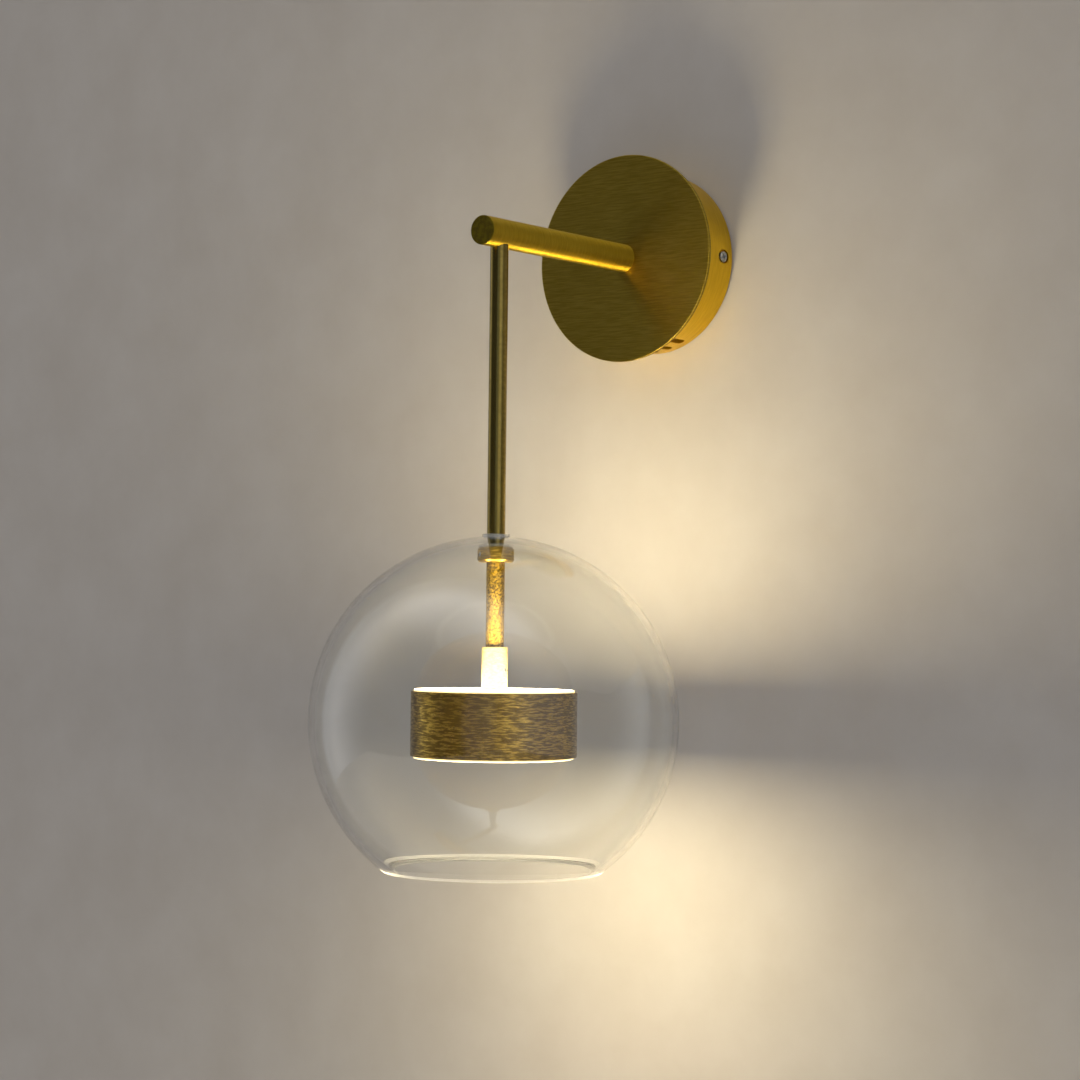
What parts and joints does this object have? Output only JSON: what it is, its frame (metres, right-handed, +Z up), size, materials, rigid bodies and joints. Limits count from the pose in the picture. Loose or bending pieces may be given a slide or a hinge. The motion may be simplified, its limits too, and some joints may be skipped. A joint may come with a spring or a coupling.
{
  "type": "globe wall sconce",
  "caption": "Wall sconce with a round canopy, a straight arm, a hanging rod and a clear glass globe, open below, round a short cylindrical lamp that glows above and below.",
  "frame": {"origin": "on the wall plane, at the middle of the canopy and between the two wall screws, level with the arm's axis", "axes": "+X to the right along the wall, +Y into the wall, +Z up; the sconce stands out towards -Y"},
  "size_m": [0.2, 0.25, 0.4057],
  "materials": {
    "brushed_brass": "brushed, lacquered",
    "zinc_steel": "zinc plated",
    "plate_steel": "white powder coat",
    "clear_glass": "clear blown glass",
    "clear_silicone": "clear silicone rubber",
    "black_rubber": "moulded",
    "opal_acrylic": "opal, lit from inside",
    "core_aluminium": "turned",
    "board_white": "white solder mask",
    "led_phosphor": "yellow phosphor",
    "driver_case": "fine grain",
    "terminal_plastic": "natural nylon",
    "earth_insulation": "green and yellow",
    "lead_insulation": "smooth",
    "clear_insulation": "smooth"
  },
  "bodies": {
    "fixture": {"canopy_disc": "brushed_brass", "canopy_cup": "brushed_brass", "canopy_side_screws": "zinc_steel", "wall_plate": "plate_steel", "cable_grommet": "black_rubber", "terminal_block": "terminal_plastic", "terminal_clamp_screws": "zinc_steel", "terminal_fixing_screws": "zinc_steel", "earth_stud": "zinc_steel", "earth_nuts": "zinc_steel", "earth_lead": "earth_insulation", "led_driver": "driver_case", "driver_screws": "zinc_steel", "mains_leads": "lead_insulation", "arm_nipple": "zinc_steel", "arm_washer": "zinc_steel", "arm_nut": "zinc_steel", "arm_tube": "brushed_brass", "arm_end_block": "brushed_brass", "drop_rod": "brushed_brass", "globe_collar": "brushed_brass", "collar_set_screw": "zinc_steel", "lamp_sleeve": "brushed_brass", "sleeve_set_screw": "zinc_steel", "drum_ring": "brushed_brass", "drum_core": "core_aluminium", "top_led_board": "board_white", "bottom_led_board": "board_white", "top_leds": "led_phosphor", "bottom_leds": "led_phosphor", "board_screws": "zinc_steel", "link_wires": "zinc_steel", "top_diffuser": "opal_acrylic", "bottom_diffuser": "opal_acrylic", "dc_lead": "clear_insulation"},
    "bush": {"globe_bush": "clear_silicone"},
    "globe": {"glass_globe": "clear_glass"}
  },
  "joints": [
    {"name": "globe_lift", "type": "slide", "parent": "fixture", "child": "bush", "axis": [0, 0, 1], "range_m": [0, 0.15]},
    {"name": "globe_turn", "type": "hinge", "parent": "bush", "child": "globe", "pos_m": [0, -0.15, -0.2647], "axis": [0, 0, 1], "continuous": true}
  ]
}
